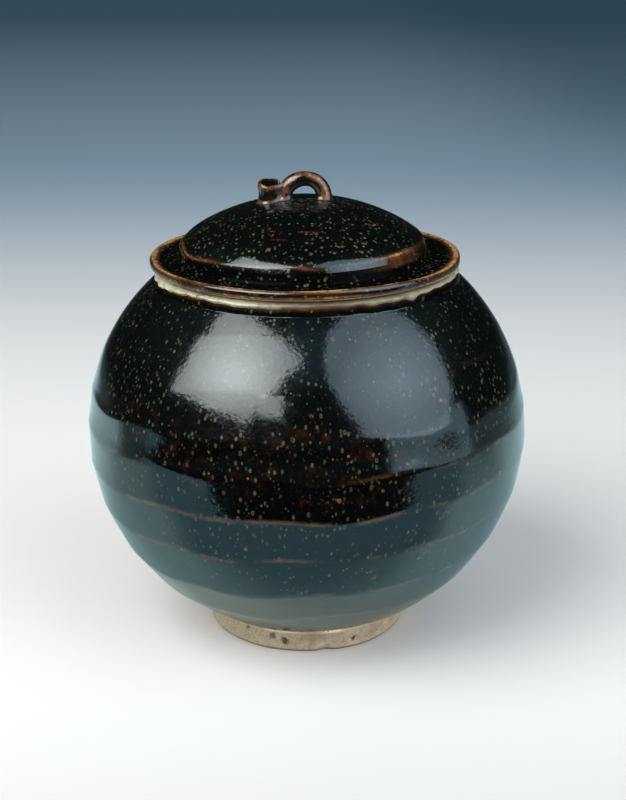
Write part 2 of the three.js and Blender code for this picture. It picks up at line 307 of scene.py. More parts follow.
slip_line = SLIP_EDGE + uneven(ANGLE, 0, 0.2, range(2, 9), 5) + uneven(ANGLE, 0, 0.14, range(11, 44, 4), 6)
slip_line = slip_line + swells(SLIP_RUNS)
glaze_line = GLAZE_LINE + swells(GLAZE_DRIPS)
glaze_line = glaze_line + uneven(ANGLE, 0, 0.16, range(1, 8), 8) + uneven(ANGLE, 0, 0.08, range(9, 30, 3), 9)

ring_inside = FOOT_STANDING - FOOT_RING
base = rounded([(NEAR_AXIS, FOOT_RECESS), (ring_inside, FOOT_RECESS), (ring_inside, 0), (FOOT_STANDING, 0),
                (FOOT_RADIUS, FOOT_HEIGHT), (belly(FOOT_TOP), FOOT_TOP)], FOOT_EDGE)
wall_heights = np.linspace(*HIDDEN_WALL, 30)
shoulder_heights = np.linspace(SHOULDER_START, SHOULDER_TOP, 8)
shoulder = np.stack([belly(shoulder_heights), shoulder_heights], axis=1)
lip = rounded([*shoulder, (LIP_RADIUS, LIP_TOP), (MOUTH_RADIUS, LIP_TOP),
               (MOUTH_RADIUS, LIP_TOP - NECK)], LIP_EDGE)
inside_heights = np.linspace(LIP_TOP - NECK - 1, FLOOR_TOP + 0.05, 36)
inside = np.stack([belly(inside_heights, WALL), inside_heights], axis=1)
jar_path = np.vstack([
    spaced(base, 100),
    np.stack([belly(wall_heights) - HIDDEN_INSET, wall_heights], axis=1),
    spaced(lip, 90),
    inside,
    [(inside[-1, 0] * 0.5, FLOOR_TOP), (NEAR_AXIS, FLOOR_TOP)],
])
r, z = (jar_path[:, k, None] + 0 * ANGLE for k in range(2))
on_lip = (r > LIP_RADIUS - LIP_WALL / 2) & (z > SHOULDER_TOP - 1)
on_foot = (r > ring_inside + 1) & (z < FOOT_HEIGHT + 3)
bead = SLIP_BEAD + uneven(ANGLE, 0, 0.12, range(3, 30, 3), 7) + uneven(ANGLE, 0, 0.12, range(31, 70, 5), 12)
bead = bead + swells(BEAD_SWELLS)
chip = swells(CHIP) * bump(z - CHIP_HEIGHT, CHIP_RISE)
iron = sum(strength * bump(beside_front(at) * FOOT_RADIUS, radius) * bump(z - up, radius)
           for at, up, radius, strength in IRON)
r = r + on_lip * bead * bump(z - slip_line - BEAD_RISE, BEAD_WIDTH)
r = r + on_foot * (uneven(ANGLE, 2 * z, 0.1, range(2, 14), 11) - chip - IRON_PIT * iron)
washed_outside = smooth(z, slip_line - 0.45, slip_line + 0.35)
washed_inside = smooth(z, LIP_TOP - 3, LIP_TOP - 1.5)
# the slip is lowered where the lip is painted in shade
slip = np.where(on_lip, washed_outside, washed_inside) * (1 - swells(SLIP_PAINTED_SHADE))
# Painted light: the pale line under the coat, at a quarter strength all round and full in two stretches at
# the front, lifts the shade under the belly's overhang.
pale_line_share = 0.25 + sum(bump(beside_front(at), wide) ** 2 for at, wide in PALE_LINE_ARCS)
pale_line_and_light = on_foot * smooth(z, FOOT_HEIGHT - 1.7, FOOT_HEIGHT - 1.2) * np.clip(pale_line_share, 0, 1)
thrown_jar = closed_piece(
    "thrown_jar", leaned(turned(r, z)), True, {"slip": slip, "pale_line_and_light": pale_line_and_light, "iron": on_foot * iron})

# %% [markdown]
# ## Throwing ridges
# The potter's fingers climb the wall as the wheel turns, so the ridges are one long screw thread and not
# separate hoops. Between two turns of it the wall is almost flat, which is why reflections jump at each
# ridge. A point's place on the thread is its height, measured in turns, less its share of a turn round the
# axis.

# %% The thread of ridges
RIDGE_HEIGHTS = (11.3, 23.3, 34.8, 49.3, 62.8, 75.3, 85.8, 99.8, 114.8)
RIDGE_DEPTH = 0.36
RIDGE_CREST = 0.1
RIDGE_FADE = (80.8, 96.8)  # heights between which the ridges lose most of their depth


def ridge_phase(height, angle):
    """Turns along the thread, which wavers a little: 0 or 1 on a crest, a half in the hollow between two."""
    wavering = height + uneven(angle, height, 0.45, range(3, 15, 2), 22)
    turns = np.interp(wavering, RIDGE_HEIGHTS, np.arange(len(RIDGE_HEIGHTS)))
    return (turns - (angle - FRONT) / (2 * np.pi)) % 1


def ridge_relief(height, angle):
    """Minus depth times 4 phase (1 - phase), softened at the crest: this parabola flattens the round wall."""
    phase = ridge_phase(height, angle)
    wave = 4 * phase * (1 - phase)
    strength = RIDGE_DEPTH * (1 + uneven(angle, height, 0.2, range(1, 5), 21))
    fade = 1 - 0.72 * smooth(height, *RIDGE_FADE)
    return -strength * fade * (np.sqrt(wave ** 2 + RIDGE_CREST ** 2) - RIDGE_CREST)


# %% [markdown]
# ## The outer coat
# The jar was dipped, so its black glaze is a skin with a thickness of its own. It thins to nothing at the
# slip on the lip, where it also fills the corner in a soft collar, and runs out long and thin just above
# the foot. The outside of the skin is the clay's path pushed out by the thickness; the inside lies just
# within the clay and closes it. The marks "thread_sin" and "thread_cos" let the material find the crest of
# the thread between two rows of points, "worn" says where that crest shows, "rusty" where the black turns
# red and "thin" where the coat ends. The collar has no shine, so its faces get a second, dull material.

# %% Outer glaze
COLLAR_START = 118.6
COLLAR_TOP = 120.3
COLLAR_OUT = LIP_RADIUS + 0.1
LOWER_TAPER = 2.4
UPPER_TAPER = 1.5
COAT_BURIED = 0.35
DULL_COLLAR = 2.8
BELLY_WEAR = (66.8, 72.8)  # heights between which the crests stop showing, less so on the right
SHOULDER_WEAR = (78.8, 84.8)  # and between which most of the rest goes
RUST_START = (64.8, 72.8)
RUST_END = (88.8, 93.8)
RUSTY_FRONT = ((0.4, -0.2, 0.9),)
THIN_EDGE = ((0.7, 0.1, 0.35), (0.4, -0.8, 0.15))
THIN_REACH = 0.28
coat_heights = np.linspace(FOOT_HEIGHT, COLLAR_START, 180)
collar_r = belly(COLLAR_START)
collar_slope = collar_r - belly(COLLAR_START - 1)
collar_corner = COLLAR_START + (COLLAR_OUT - collar_r) / collar_slope
collar = bezier((collar_r, COLLAR_START), (COLLAR_OUT, collar_corner), (COLLAR_OUT, COLLAR_TOP), count=24)
coat_path = np.vstack([
    np.stack([belly(coat_heights), coat_heights], axis=1),
    collar[1:],
    [(LIP_RADIUS, COLLAR_TOP + 0.25), (LIP_RADIUS, COLLAR_TOP + 0.6), (LIP_RADIUS, LIP_TOP)],
])
coat_run = lengths(coat_path)
coat_normal = normals(coat_path)


def coat_surface(share, thickness):
    """The clay's path from the lower to the upper edge of the coat, pushed out along its normal, and the
    distance to the upper edge."""
    low = np.interp(glaze_line, coat_path[:, 1], coat_run)
    high = np.interp(slip_line + 0.2, coat_path[:, 1], coat_run)
    run = low + (high - low) * share
    radius, height, out_r, out_z = (np.interp(run, coat_run, column)
                                    for column in (*coat_path.T, *coat_normal.T))
    push = thickness(run - low, high - run)
    push = push + ridge_relief(height, ANGLE) + uneven(ANGLE, height, 0.06, range(1, 9), 31)
    push = push + uneven(ANGLE, height, 0.018, range(9, 28, 3), 32, 0.35)
    return radius + out_r * push, height + out_z * push, high - run


def outer_thickness(from_low, to_high):
    """A round start at each edge, long and thin at the lower one: the square root of 1 - (1 - t)^2."""
    nearest = np.minimum(from_low / LOWER_TAPER, to_high / UPPER_TAPER)
    return COAT * np.sqrt(1 - (1 - np.clip(nearest, 0, 1)) ** 2)


rows = np.linspace(0, 1, 250)[:, None]
outer_share = rows - 0.6 * np.sin(2 * np.pi * rows) / (2 * np.pi)
r_out, z_out, to_high = coat_surface(outer_share, outer_thickness)
inner_share = np.concatenate([np.linspace(1, 0.92, 11), np.linspace(0.9, 0, 10)])[:, None]
r_in, z_in, _ = coat_surface(inner_share, lambda from_low, to_high: -COAT_BURIED)
thread = 2 * np.pi * ridge_phase(z_out, ANGLE)
right_half = smooth(np.cos(ANGLE), -0.1, 0.4)
worn = 1 - (1 - 0.7 * right_half) * smooth(z_out, *BELLY_WEAR)
worn = worn * (1 - 0.85 * smooth(z_out, *SHOULDER_WEAR))
rusty = smooth(z_out, *RUST_START) * (1 - smooth(z_out, *RUST_END)) * (0.2 + swells(RUSTY_FRONT))
thin = np.exp(-to_high / THIN_REACH) * (0.3 + swells(THIN_EDGE))
buried = np.zeros_like(r_in)
outer_marks = {"thread_sin": np.sin(thread), "thread_cos": np.cos(thread),
               "worn": worn, "rusty": rusty, "thin": thin}
outer_glaze = closed_piece(
    "outer_glaze",
    leaned(turned(np.vstack([r_out, r_in]), np.vstack([z_out, z_in]))),
    False,
    {label: np.vstack([values, buried]) for label, values in outer_marks.items()})
second_finish(outer_glaze, to_high < DULL_COLLAR)

# %% [markdown]
# ## The lining
# A storage jar is glazed inside too, by pouring the glaze in and swirling it. The lining is a thin bowl
# that follows the inner wall and the floor, and ends below the neck, where the cover's flange runs.

# %% Inner glaze
LINING_TOP = SHOULDER_TOP - 3.2
LINING_FLOOR = FLOOR_TOP + 0.35
LINING_BURIED = 0.3
lining_heights = np.linspace(LINING_TOP, LINING_FLOOR, 60)
lining_wall = np.stack([belly(lining_heights, WALL), lining_heights], axis=1)
lining_path = spaced(rounded([*lining_wall, (NEAR_AXIS, LINING_FLOOR)], 3), 90)
lining_normal = normals(lining_path)
lining_edge = np.clip(lengths(lining_path) / 1.2, 0, 1)
lining_depth = COAT * np.sqrt(1 - (1 - lining_edge) ** 2)
top_path = lining_path + lining_normal * lining_depth[:, None]
under_path = lining_path - lining_normal * LINING_BURIED
lining_profile = np.vstack([top_path[::-1], under_path])
lining_profile[[0, -1], 0] = NEAR_AXIS
r, z = (lining_profile[:, k, None] + 0 * ANGLE for k in range(2))
r = r + uneven(ANGLE, z, 0.12, range(1, 7), 41) * smooth(r, 10, 30)
inner_glaze = closed_piece("inner_glaze", turned(r, z), True)

# %% [markdown]
# ## The cover
# The cover is a low dome. A cut face slants out from the dome's edge to a flat channel, and the brim
# outside it rises to a crest with an upright face. A flange underneath keeps it centred in the mouth. One
# path describes the finished top: a cubic Bezier for the dome, a straight slant with a rounded foot for
# the cut, a quadratic Bezier for the rise and arcs for the two edges of the brim's face. The clay is the
# same path moved in by the coat.

# %% Path of the cover's top
BRIM_THICKNESS = 3.5
CREST_ROUND = 1.1
FACE_FOOT = 2.15  # below the crest, where the lower edge starts to turn under
FOOT_ROUND = 0.75
CHANNEL_RADIUS = 45.0
CHANNEL_DEPTH = 0.9
DOME_RADIUS = 39.7
DOME_STEP = 2.9
DOME_SIDE = 0.3
DOME_SHIFT = -0.5  # the dome was turned a little off the brim's middle
EDGE_CUT = 1.4  # the dome is cut off this far above the place where its side would stand upright
EDGE_SLIDE = 0.9  # and the cut lies this much further up on the right
STEP_FOOT = 40.8  # the cut face slants out to here
STEP_FILLET = 1.2
BRIM_CREST = SEAT + BRIM_THICKNESS
DOME_EDGE = BRIM_CREST + DOME_STEP
channel = BRIM_CREST - CHANNEL_DEPTH
side = DOME_EDGE + DOME_SIDE * (DOME_APEX - DOME_EDGE)
edge_x = BRIM_RADIUS - CREST_ROUND


def arc(centre, radius, first, last):
    """Points on a circle about a centre, from one angle to another, in degrees."""
    turn = np.radians(np.linspace(first, last, 16))
    return np.stack([centre[0] + radius * np.cos(turn), centre[1] + radius * np.sin(turn)], axis=1)


dome_curve = bezier(
    (NEAR_AXIS, DOME_APEX), (DOME_RADIUS / 2, DOME_APEX), (DOME_RADIUS, side), (DOME_RADIUS, DOME_EDGE),
    count=90)
dome_curve = dome_curve[dome_curve[:, 1] > DOME_EDGE + EDGE_CUT]
step_curve = rounded([dome_curve[-1], (STEP_FOOT, channel), (CHANNEL_RADIUS, channel)], STEP_FILLET)
rise_curve = bezier((CHANNEL_RADIUS, channel), ((CHANNEL_RADIUS + edge_x) / 2, channel), (edge_x, BRIM_CREST))
face_curve = np.vstack([
    arc((edge_x, BRIM_CREST - CREST_ROUND), CREST_ROUND, 90, 0),
    arc((BRIM_RADIUS - FOOT_ROUND, BRIM_CREST - FACE_FOOT), FOOT_ROUND, 0, -80),
])
cover_path = spaced(np.vstack([dome_curve, step_curve[1:], rise_curve[1:], face_curve[1:]]), 230)
cover_run = lengths(cover_path)
cover_normal = -normals(cover_path)


def run_at(radius, height):
    """Distance along the cover's path at its nearest point to (radius, height)."""
    return cover_run[np.argmin(np.hypot(cover_path[:, 0] - radius, cover_path[:, 1] - height))]


def dome_height(radius):
    """Height of the finished dome at a distance from the axis."""
    return np.interp(radius, dome_curve[:, 0], dome_curve[:, 1])


print("brim crest", round(BRIM_CREST, 2), "dome edge", round(DOME_EDGE, 2))

# %% [markdown]
# The coat over the cover is closed like the jar's: an outer face on the finished path, and an inner one
# half a millimetre below. Glaze drains off sharp edges, so it is thin and rusty on the dome's edge, on the
# crest of the brim and along the brim's lower edge. On the right of the dome a finger's breadth of the
# edge drained almost bare. The mark "thin" records all of that. In the channel the glaze lost its shine,
# so those faces get a second, dull material.

# %% Cover glaze
COVER_COAT = 0.5
PATCH = ((1.0, 0.86, 0.24),)
EDGE_DRAINED = ((0.7, -1.1, 0.35), (0.6, 0.0, 0.13))
STREAKS = (  # angle to the right of the front, distance from the apex, half length and half breadth
    (0.05, 27.2, 0.13, 0.7), (0.5, 27.0, 0.08, 0.5), (-0.33, 26.8, 0.12, 0.4), (-0.25, 31.0, 0.09, 0.5))
dome_edge_run = run_at(*dome_curve[-1])
crest_run = run_at(edge_x + 0.3, BRIM_CREST)
run = cover_run[:, None]
to_end = cover_run[-1] - run
past_edge = run - dome_edge_run
wander = uneven(ANGLE, 0, 0.35, range(2, 12), 51)
patch = swells(PATCH)
cover_uneven = uneven(ANGLE, run, 0.07, range(1, 8), 52) * smooth(run, 5, 25)
lip_wave = uneven(ANGLE, 0, 0.14, range(2, 9), 53) * smooth(run, crest_run - 8, crest_run)
taper = COVER_COAT * (1 - np.sqrt(1 - (1 - np.clip(to_end / 0.7, 0, 1)) ** 2))
off_middle = DOME_SHIFT * np.cos(ANGLE) * smooth(run, 8, 25)
off_middle = off_middle * (1 - smooth(run, dome_edge_run + 4, crest_run - 2))
down_dome = (dome_curve[-1] - dome_curve[-2]) / np.linalg.norm(dome_curve[-1] - dome_curve[-2])
edge_slide = -EDGE_SLIDE * np.cos(ANGLE) * bump(past_edge, 2.5)
moved_out = off_middle + down_dome[0] * edge_slide
moved_up = lip_wave + down_dome[1] * edge_slide
r_out = cover_path[:, :1] + cover_normal[:, :1] * (cover_uneven - taper) + moved_out
z_out = cover_path[:, 1:] + cover_normal[:, 1:] * (cover_uneven - taper) + moved_up
near_corner = np.abs(cover_run - run_at(STEP_FOOT, channel)) < 1.6
inner_rows = np.flatnonzero(near_corner | (np.arange(len(cover_run)) % 8 == 0))[::-1]
r_in = (cover_path[:, :1] - cover_normal[:, :1] * COVER_COAT + moved_out)[inner_rows]
z_in = (cover_path[:, 1:] - cover_normal[:, 1:] * COVER_COAT + moved_up)[inner_rows]
r_in[-1] = NEAR_AXIS
below_edge = smooth(past_edge, 0.2, 0.8) * (1 - smooth(past_edge, 2.6, 3.4))
edge_share = 0.12 + swells(EDGE_DRAINED)
crest_share = 1 + 0.5 * smooth(np.abs(np.cos(ANGLE)), 0.6, 1.0)
thin = (edge_share * bump(past_edge - wander, 0.5)
        + patch * (0.9 * bump(past_edge - 0.5 * wander, 0.7) + 0.35 * below_edge)
        + crest_share * bump(run - crest_run + 0.3 - 0.3 * wander, 1.1)
        + 0.85 * bump(to_end - 1.0 - 0.2 * wander, 0.4))
streak = sum(bump(beside_front(at), half_length) * bump(run - out, half_breadth)
             for at, out, half_length, half_breadth in STREAKS)
rubbed = bump(np.maximum(run - 10, 0), 4.0) * smooth(-np.sin(ANGLE), -0.3, 0.6)
cover_marks = {"thin": thin, "rusty": 4.0 * streak, "rubbed": rubbed}
buried = np.zeros_like(r_in)
cover_rings = leaned(turned(np.vstack([r_out, r_in]), np.vstack([z_out, z_in])), COVER_PLAY)
cover_coat = closed_piece(
    "cover_coat", cover_rings, True,
    {label: np.vstack([values, buried]) for label, values in cover_marks.items()})
in_channel = (cover_run[:-1] > dome_edge_run + 1.6) & (cover_run[:-1] < crest_run - 1.5)
second_finish(cover_coat, in_channel[:, None] & np.ones(AROUND, bool))

# %% [markdown]
# Under the coat is the clay of the cover. Only its underside shows, once the cover is lifted: the flat
# seat, the flange that drops into the mouth and the hollow of the dome, all bare.

# %% Clay of the cover
FLANGE_PLAY = 0.9
FLANGE_OUTSIDE = MOUTH_RADIUS - FLANGE_PLAY
FLANGE_WALL = 4.2
FLANGE_DEPTH = 6.5
FLANGE_EDGE = 0.8
SEAT_BEVEL = 1.6
COVER_WALL = 3.6
CLAY_BURIED = COAT + 0.6
inset = COAT + COVER_WALL
hollow = bezier((DOME_RADIUS - inset, DOME_EDGE - COVER_WALL), (DOME_RADIUS - inset, side - inset),
                ((DOME_RADIUS - inset) / 2, DOME_APEX - inset), (NEAR_AXIS, DOME_APEX - inset))
clay_top = (cover_path - cover_normal * CLAY_BURIED)[inner_rows[::-1]]
clay_top[0, 0] = NEAR_AXIS
flange_inside = FLANGE_OUTSIDE - FLANGE_WALL
flange_end = SEAT - FLANGE_DEPTH
underside = rounded([clay_top[-1], (BRIM_RADIUS - SEAT_BEVEL, SEAT), (FLANGE_OUTSIDE, SEAT),
                     (FLANGE_OUTSIDE, flange_end), (flange_inside, flange_end),
                     (flange_inside, SEAT), hollow[0]], FLANGE_EDGE)
cover_clay_path = np.vstack([clay_top[:-1], spaced(underside, 90), spaced(hollow, 50)[1:]])
r, z = (cover_clay_path[:, k, None] + 0 * ANGLE for k in range(2))
r = r + uneven(ANGLE, z, 0.06, range(1, 8), 61) * smooth(r, 8, 25)
thrown_cover = closed_piece("thrown_cover", leaned(turned(r, z), COVER_PLAY), True)

# %% [markdown]
# ## The loop
# The handle is a coil rolled under the palm and bent into a half ring, with its ends pressed onto the
# dome. It is a round section carried along the bent line. The section swells at the feet, where the clay
# was smeared down and the glaze gathered.

# %% Loop handle
COIL_RADIUS = 2.4
LOOP_RADIUS = LOOP_OUTSIDE - COIL_RADIUS
LOOP_CENTRE = LOOP_TOP - LOOP_OUTSIDE
LEG_SPLAY = 1.1  # the left leg stands out by this much at its foot
FOOT_SWELL = 1.5
LEG_SUNK = 1.0
SECTION = 64
LEG = LOOP_CENTRE - dome_height(LOOP_RADIUS) + LEG_SUNK


def along_coil(points, widths, section_angle, ahead_up):
    """Round sections of given widths about points of a flat line in XZ; ahead_up is the line's own normal."""
    outward = ahead_up[:, None, :] * np.cos(section_angle)[None, :, None]
    sideways = np.array([0, 1, 0]) * np.sin(section_angle)[None, :, None]
    return points[:, None, :] + widths[:, None, None] * (outward + sideways)


half = np.pi * LOOP_RADIUS
run = np.linspace(0, half + 2 * LEG, 150)
bend = np.clip((run - LEG) / half, 0, 1) * np.pi
below = np.maximum(np.maximum(LEG - run, run - LEG - half), 0)
zero = np.zeros_like(run)
splay = LEG_SPLAY * smooth(run, LEG + 0.35 * half, LEG + half)
loop_height = LOOP_CENTRE + LOOP_RADIUS * np.sin(bend) - below
centre_line = np.stack([LOOP_RADIUS * np.cos(bend) - splay, zero, loop_height], axis=1)
normal = np.stack([np.cos(bend), zero, np.sin(bend)], axis=1)
foot_distance = np.minimum(run, run[-1] - run)
swelling = FOOT_SWELL * np.exp(-np.maximum(foot_distance - 0.4, 0) / 0.8)
widths = COIL_RADIUS * (1 + 0.03 * np.sin(3 * bend + 0.7)) + swelling
section_angle = np.linspace(0, 2 * np.pi, SECTION, endpoint=False)
loop_rings = along_coil(centre_line, widths, section_angle, normal)
from_outside = np.abs((section_angle + np.pi) % (2 * np.pi) - np.pi)[None, :]
arch = np.sin(bend)[:, None]
loop_thin = bump(from_outside - 1.45 + 0.7 * arch, 0.9 - 0.35 * arch)
handle_loop = closed_piece("handle_loop", leaned(loop_rings), True, {"thin": loop_thin})

# %% [markdown]
# ## The rolled tail
# From the left foot of the loop the strap's tail runs on and is rolled into a small upright collar. The
# strap has raised edges and a hollow face, so the glaze is thin and rusty along the edges and dark between
# them. It is a strap section, carried along a line that leaves the loop's foot and turns round by the
# front. The rim dips at the front, and the foot of the strap follows the dome.

# %% Rolled tail
TAIL_RADIUS = 3.05
TAIL_CLEAR = 3.5
TAIL_CENTRE_X = -(LOOP_OUTSIDE + TAIL_CLEAR)
TAIL_THICK = 0.9
TAIL_RIM = 4.8
TAIL_SUNK = 0.9
TAIL_FLARE = 0.85
tail_turn = np.linspace(-1.75, -6.1, 90)
tail_arc = TAIL_RADIUS * np.stack([np.cos(tail_turn), np.sin(tail_turn)], axis=1) + (TAIL_CENTRE_X, 0)
lead = bezier((-LOOP_RADIUS - 1.6, -1.2), (TAIL_CENTRE_X + 2.6, -TAIL_RADIUS + 0.1), tail_arc[0])
tail_path = spaced(np.vstack([lead, tail_arc[1:]]), 130)
outward = -normals(tail_path)
tail_x, tail_y = tail_path.T
rim = DOME_APEX + TAIL_RIM + 0.22 * tail_y + 0.12 * np.abs(tail_x - TAIL_CENTRE_X)
foot = dome_height(np.hypot(tail_x, tail_y)) - TAIL_SUNK
section_turn = np.linspace(0, 2 * np.pi, 72, endpoint=False)
across = np.sign(np.cos(section_turn)) * np.abs(np.cos(section_turn)) ** 0.8
upward = np.sign(np.sin(section_turn)) * np.abs(np.sin(section_turn)) ** 0.6
waist = 1 - 0.55 * np.cos(upward * np.pi / 2) ** 2
flare = TAIL_FLARE * smooth(-upward, 0.5, 1.0)
tail_run = lengths(tail_path)
tail_end = np.clip((tail_run[-1] - tail_run) / 0.8, 0.3, 1) ** 0.5
offset = (TAIL_THICK * across * waist)[None, :] * tail_end[:, None] + flare[None, :]
tail_rings = np.stack([
    tail_x[:, None] + outward[:, :1] * offset,
    tail_y[:, None] + outward[:, 1:] * offset,
    (rim + foot)[:, None] / 2 + (rim - foot)[:, None] / 2 * upward[None, :],
], axis=-1)
tail_thin = (smooth(upward, 0.35, 0.85) + 0.8 * smooth(-upward, 0.3, 0.55)) * smooth(across, -0.7, 0.0)
tail_thin = tail_thin[None, :] * np.ones((len(tail_path), 1))
rolled_tail = closed_piece("rolled_tail", leaned(tail_rings), True, {"thin": tail_thin})
second_finish(rolled_tail, (across < -0.3) & np.ones((len(tail_path) - 1, 1), bool))

# %% [markdown]
# ## Materials
# All colour comes from node trees on Object coordinates and on the marks above, so it stays on the pot
# from every side. A small helper places a node and connects it, which keeps each material close to a
# recipe.

# %% Node helpers
def supply(tree, socket, value):
    """Links a socket to the value of another, or sets it to a constant."""
    if isinstance(value, bpy.types.NodeSocket):
        tree.links.new(value, socket)
    else:
        socket.default_value = value


def place(tree, kind, inputs=None, **properties):
    """Adds a node, sets its properties, then sets or links its inputs by name or number."""
    node = tree.nodes.new(kind)
    for name, value in properties.items():
        setattr(node, name, value)
    for name, value in (inputs or {}).items():
        supply(tree, node.inputs[name], value)
    return node


def math_node(tree, operation, first, second=0.0, clamp=False):
    """The result socket of one Math node."""
    node = place(tree, "ShaderNodeMath", {0: first, 1: second}, operation=operation, use_clamp=clamp)
    return node.outputs[0]


def times(tree, first, second, clamp=False):
    """The product of two values."""
    return math_node(tree, "MULTIPLY", first, second, clamp)


def plus(tree, first, second, clamp=False):
    """The sum of two values."""
    return math_node(tree, "ADD", first, second, clamp)


def ramp(tree, value, low, high, to_low=0.0, to_high=1.0):
    """A value mapped smoothly from low..high to to_low..to_high, and held beyond them."""
    inputs = {"Value": value, "From Min": low, "From Max": high, "To Min": to_low, "To Max": to_high}
    return place(tree, "ShaderNodeMapRange", inputs, interpolation_type="SMOOTHSTEP").outputs[0]


def mix_colour(tree, share, first, second):
    """Colour `first` at share 0 and `second` at share 1."""
    return place(tree, "ShaderNodeMix", {0: share, 6: first, 7: second}, data_type="RGBA").outputs[2]


def noise(tree, coords, scale, detail=3.0, roughness=0.55):
    """The value of a noise texture, about 0.5 on average; scale is features per metre."""
    inputs = {"Vector": coords, "Scale": scale, "Detail": detail, "Roughness": roughness}
    return place(tree, "ShaderNodeTexNoise", inputs).outputs["Fac"]


def mark(tree, label):
    """A mark kept at the points of the mesh."""
    return place(tree, "ShaderNodeAttribute", attribute_name=label).outputs["Fac"]


def stretched(tree, coords, scale):
    """Object coordinates stretched along the axes, to stretch a pattern the other way."""
    return place(tree, "ShaderNodeMapping", {"Vector": coords, "Scale": scale}).outputs[0]


def new_material(name):
    """An empty node material with a Principled shader: (material, tree, shader, object coordinates)."""
    material = bpy.data.materials.new(name)
    material.use_nodes = True
    tree = material.node_tree
    tree.nodes.clear()
    shader = place(tree, "ShaderNodeBsdfPrincipled")
    output = place(tree, "ShaderNodeOutputMaterial")
    tree.links.new(shader.outputs[0], output.inputs["Surface"])
    coords = place(tree, "ShaderNodeTexCoord").outputs["Object"]
    return material, tree, shader, coords


def feed(tree, shader, **sockets):
    """Links or sets inputs of the shader, named with underscores for spaces."""
    for name, value in sockets.items():
        supply(tree, shader.inputs[name.replace("_", " ")], value)


def dress(piece, *materials):
    """Gives a piece its materials, in the order of its finishes."""
    for material in materials:
        piece.data.materials.append(material)


# %% [markdown]
# ### Flecks
# Crystals grew in the cooling glaze as olive flecks, some of them little rings. The same effect, with
# other sizes, makes iron spots in clay, so it is a node group. Each cell of a Voronoi pattern holds one
# round spot about its centre. The cell's random colour decides whether it has a spot, how big it is and
# whether it is a ring.

# %% Spots group
def spots_group():
    """Mask: 1 inside spots of radius Size, in cells, in a Share of them. Tint: a random value for each."""
    tree = bpy.data.node_groups.new("fired_spots", "ShaderNodeTree")
    face = tree.interface
    face.new_socket("Vector", in_out="INPUT", socket_type="NodeSocketVector")
    for label in ("Per metre", "Size", "Share", "Hollow"):
        face.new_socket(label, in_out="INPUT", socket_type="NodeSocketFloat")
    for label in ("Mask", "Tint"):
        face.new_socket(label, in_out="OUTPUT", socket_type="NodeSocketFloat")
    given = place(tree, "NodeGroupInput").outputs
    cells = place(tree, "ShaderNodeTexVoronoi", {"Vector": given["Vector"], "Scale": given["Per metre"]})
    chance = place(tree, "ShaderNodeSeparateColor", {"Color": cells.outputs["Color"]}).outputs
    size = times(tree, given["Size"], ramp(tree, chance[1], 0, 1, 0.35, 1.0))
    reach = math_node(tree, "DIVIDE", cells.outputs["Distance"], size)
    disc = ramp(tree, reach, 1.0, 0.5)
    hole = times(tree, ramp(tree, reach, 0.62, 0.4), ramp(tree, chance[2], 0.78, 0.8))
    hole = times(tree, hole, given["Hollow"])
    chosen = math_node(tree, "LESS_THAN", chance[0], given["Share"])
    spot = times(tree, disc, chosen)
    ringed = times(tree, spot, math_node(tree, "SUBTRACT", 1.0, hole))
    place(tree, "NodeGroupOutput", {"Mask": ringed, "Tint": chance[2]})
    return tree


SPOTS = spots_group()


def spots(tree, coords, cell, radius, share, hollow=0.0):
    """Mask and tint of spots: cell and radius in millimetres, share of the cells that hold one, and how far
    the ring-shaped ones among them are open."""
    inputs = {"Vector": coords, "Per metre": 1 / (cell * MM), "Size": radius / cell,
              "Share": share, "Hollow": hollow}
    node = place(tree, "ShaderNodeGroup", inputs, node_tree=SPOTS)
    return node.outputs["Mask"], node.outputs["Tint"]


# %% [markdown]
# ### Black glaze
# An iron glaze is black where it is thick and turns rust-brown where it is thin. Its surface is glossy but
# finely dimpled, which breaks the edges of reflections into a stipple. Flecks are crystals, so they are
# dull. The jar and the cover share the recipe; the marks on each say where its effects lie.

# %% Black glaze
GLAZE_IOR = 1.85
DULL = 0.008  # the shine of glaze that lost its gloss
BELLY_FLECKS = (0.036, 0.056)  # heights in metres between which the share of flecks changes
SHOULDER_FLECKS = (0.083, 0.099)
BLACK = (0.0013, 0.0016, 0.0014, 1)
RED_BROWN = (0.055, 0.013, 0.006, 1)
RIDGE_BROWN = (0.062, 0.027, 0.012, 1)
RUST = (0.17, 0.062, 0.019, 1)
AMBER = (0.46, 0.235, 0.085, 1)
OLIVE = (0.042, 0.039, 0.016, 1)
CREAM = (0.105, 0.099, 0.058, 1)
DUST = (0.055, 0.062, 0.058, 1)
ON_JAR = {"low_flecks": 1.0, "clear": 0.7, "squeeze": 0.62, "blur": 0.08}
ON_COVER = {"low_flecks": 0.72, "squeeze": 1.0, "blur": 0.055}


